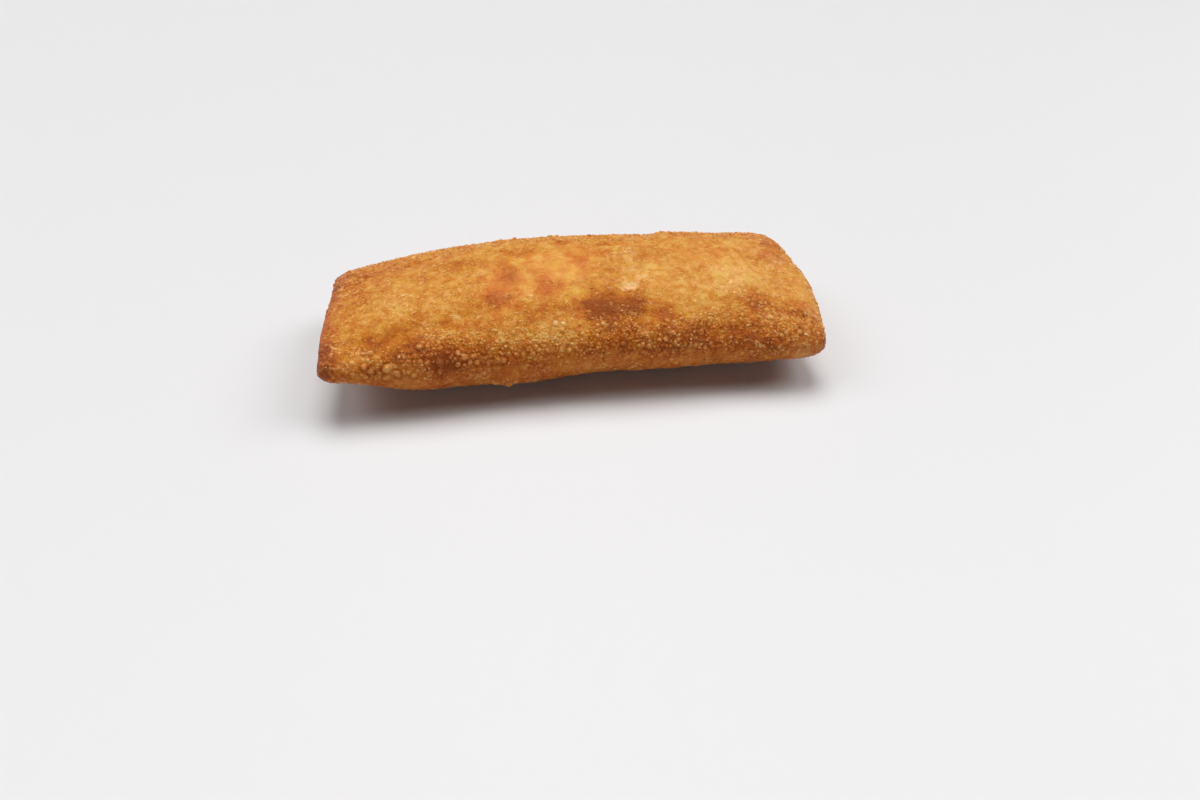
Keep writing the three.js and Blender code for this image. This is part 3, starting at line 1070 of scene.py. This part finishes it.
# painted glint: a pale spot at the top of a few small blisters
small_glint = SMALL_GLINT * small_random.uniform(0, 1, small_size.size) ** 7
small_degrees = np.degrees(small_angle)
in_front = (small_degrees > FRONT_PIECE[0]) & (small_degrees < FRONT_PIECE[1])
for name, chosen in (("small_blisters_front", in_front), ("small_blisters_back", ~in_front)):
    small_blisters = grown(
        name,
        small_turn[chosen],
        small_angle[chosen],
        small_size[chosen],
        small_height[chosen],
        small_glint[chosen],
        rings=3,
        spokes=7,
        ragged=0.1,
        power=1.2,
        random=small_random,
    )
    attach(small_blisters, "root")

# ---------------------------------------------------------------------------
# Flakes. Dry crumbs and torn bits of the dough's skin: pale ones along the outer layer's edge, a torn
# lip under the front, and crumbly rims round the ends and along the back. They are fried on.
# ---------------------------------------------------------------------------
FLAKE_GROUPS = (
    # place, degrees, half length, half width in degrees, number, least and most size, height's share
    (13.9, 80, 1.2, 6, 7, 0.6, 1.2, 0.16),
    (15.8, 92, 0.9, 6, 6, 0.6, 1.2, 0.16),
    (16.9, 104, 0.9, 2.5, 6, 0.6, 1.5, 0.16),
    (12.6, 110, 1.9, 2.5, 12, 0.7, 1.7, 0.16),
    (-33.4, 128, 0.5, 1.2, 4, 0.7, 1.3, 0.16),
    (-22.6, 205, 3.4, 5, 14, 1.2, 2.8, 0.3),
    (31.6, 213, 1.2, 3, 4, 0.8, 1.5, 0.3),
    (66.4, 100, 1.3, 65, 110, 0.8, 1.8, 0.28),
    (-66.0, 105, 1.5, 45, 30, 0.7, 1.4, 0.3),
    (0.0, 57, 64.0, 9, 240, 0.7, 1.9, 0.4),
    (-61.0, 74, 5.0, 10, 14, 0.8, 1.6, 0.4),
    (-46.0, 88, 16.0, 14, 26, 0.6, 1.2, 0.25),
    (46.0, 98, 16.0, 16, 24, 0.6, 1.2, 0.25),
)
LEAST_FLAKE_HEIGHT = 0.4  # share of the group's height
FLAKE_FLOUR = 0.9

flake_random = np.random.default_rng(33)
flake_rows = np.repeat(np.array(FLAKE_GROUPS), [group[4] for group in FLAKE_GROUPS], axis=0)
place, degrees, half_length, half_width, _, least, most, height_share = flake_rows.T
strayed = flake_random.uniform(-1, 1, (2, len(flake_rows)))
flake_size = flake_random.uniform(least, most)
flake_height = flake_size * height_share * flake_random.uniform(LEAST_FLAKE_HEIGHT, 1, flake_size.size)
flake_piece = grown(
    "flakes",
    turn_at(place + half_length * strayed[0]),
    np.radians(degrees + half_width * strayed[1]),
    flake_size,
    flake_height,
    FLAKE_FLOUR * flake_random.uniform(0, 1, flake_size.size) ** 2,
    rings=4,
    spokes=11,
    ragged=0.32,
    power=1.5,
    random=flake_random,
)
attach(flake_piece, "root")

# ---------------------------------------------------------------------------
# The studio: a plain pale round table whose rim curves up, with a pale backdrop above it that stops
# no light, three wide soft lamps, the strongest high behind the roll, and a dim pale room.
# ---------------------------------------------------------------------------
TABLE_RADIUS = 2.4
RIM_CURVE = 0.7
RIM_TOP = 1.3
BACKDROP_TOP = 3.2
RIM_STEPS = 12
RIM_SIDES = 96
TABLE_COLOUR = (0.64, 0.632, 0.636, 1.0)
TABLE_ROUGHNESS = 0.6
LAMPS = (
    # name, degrees from the back to the right, degrees up, strength, degrees across
    ("back_lamp", 3.0, 66.0, 2.45, 40.0),
    ("right_lamp", 77.0, 44.0, 1.45, 38.0),
    ("left_lamp", -77.0, 44.0, 0.96, 38.0),
)
ROOM_COLOUR = (0.93, 0.95, 1.0, 1.0)
ROOM_STRENGTH = 0.015

table_paint = bpy.data.materials.new("table_paint")
table_paint.use_nodes = True
paint_shader = table_paint.node_tree.nodes["Principled BSDF"]
paint_shader.inputs["Base Color"].default_value = TABLE_COLOUR
paint_shader.inputs["Roughness"].default_value = TABLE_ROUGHNESS


def round_wall(name, reach, height, floor):
    """A surface of revolution: rings of that reach and height joined by quads, and a floor's faces."""
    side_angle = 2 * np.pi * np.arange(RIM_SIDES) / RIM_SIDES
    across = np.outer(reach, np.cos(side_angle))
    back = np.outer(reach, np.sin(side_angle))
    points = np.stack([across, back, np.outer(height, np.ones(RIM_SIDES))], axis=-1)
    ring = np.arange(len(reach) - 1)[:, None] * RIM_SIDES
    here = ring + np.arange(RIM_SIDES)
    there = ring + (np.arange(RIM_SIDES) + 1) % RIM_SIDES
    quads = np.stack([here, here + RIM_SIDES, there + RIM_SIDES, there], axis=-1)
    mesh = bpy.data.meshes.new(name)
    mesh.from_pydata(points.reshape(-1, 3).tolist(), [], floor + quads.reshape(-1, 4).tolist())
    mesh.shade_smooth()
    mesh.materials.append(table_paint)
    made = bpy.data.objects.new(name, mesh)
    bpy.context.scene.collection.objects.link(made)
    return made


curve_turn = np.linspace(0, np.pi / 2, RIM_STEPS)
curve_reach = TABLE_RADIUS + RIM_CURVE * np.sin(curve_turn)
wall_reach = TABLE_RADIUS + RIM_CURVE
rim_reach = np.concatenate([[TABLE_RADIUS / 2], curve_reach, [wall_reach]])
rim_height = np.concatenate([[0.0], RIM_CURVE * (1 - np.cos(curve_turn)), [RIM_TOP]])
table = round_wall("table", rim_reach, rim_height, [list(range(RIM_SIDES))])

backdrop = round_wall("backdrop", [wall_reach, wall_reach], [RIM_TOP, BACKDROP_TOP], [])
backdrop.visible_shadow = False
backdrop.visible_diffuse = False
backdrop.visible_glossy = False

for lamp_name, azimuth, height, strength, spread in LAMPS:
    across, up = np.radians(azimuth), np.radians(height)
    towards = Vector((np.sin(across) * np.cos(up), np.cos(across) * np.cos(up), np.sin(up)))
    lamp_data = bpy.data.lights.new(lamp_name, "SUN")
    lamp_data.energy = strength
    lamp_data.angle = np.radians(spread)
    lamp = bpy.data.objects.new(lamp_name, lamp_data)
    lamp.location = towards
    lamp.rotation_euler = (-towards).to_track_quat("-Z", "Y").to_euler()
    bpy.context.scene.collection.objects.link(lamp)

room = bpy.data.worlds.new("room")
room.use_nodes = True
room.node_tree.nodes["Background"].inputs["Color"].default_value = ROOM_COLOUR
room.node_tree.nodes["Background"].inputs["Strength"].default_value = ROOM_STRENGTH
bpy.context.scene.world = room
bpy.context.scene.view_settings.view_transform = "Standard"
bpy.context.scene.cycles.use_denoising = True

# The camera is close in front of the roll, a little to its left, looking down and slightly tilted.
CAMERA_PLACE = (-0.02353, -0.18084, 0.11787)
CAMERA_AZIMUTH = -10.133
CAMERA_ELEVATION = 37.749
CAMERA_TILT = 2.862
CAMERA_LENS = 21.197
CAMERA_SENSOR = 36.0
NEAREST_SEEN = 0.005
FURTHEST_SEEN = 60.0

camera_data = bpy.data.cameras.new("camera")
camera_data.lens = CAMERA_LENS
camera_data.sensor_width = CAMERA_SENSOR
camera_data.sensor_fit = "HORIZONTAL"
camera_data.clip_start = NEAREST_SEEN
camera_data.clip_end = FURTHEST_SEEN
camera = bpy.data.objects.new("camera", camera_data)
camera.matrix_world = (
    Matrix.Translation(CAMERA_PLACE)
    @ Matrix.Rotation(np.radians(CAMERA_AZIMUTH), 4, "Z")
    @ Matrix.Rotation(np.radians(90 - CAMERA_ELEVATION), 4, "X")
    @ Matrix.Rotation(np.radians(CAMERA_TILT), 4, "Z")
)
bpy.context.scene.collection.objects.link(camera)
bpy.context.scene.camera = camera
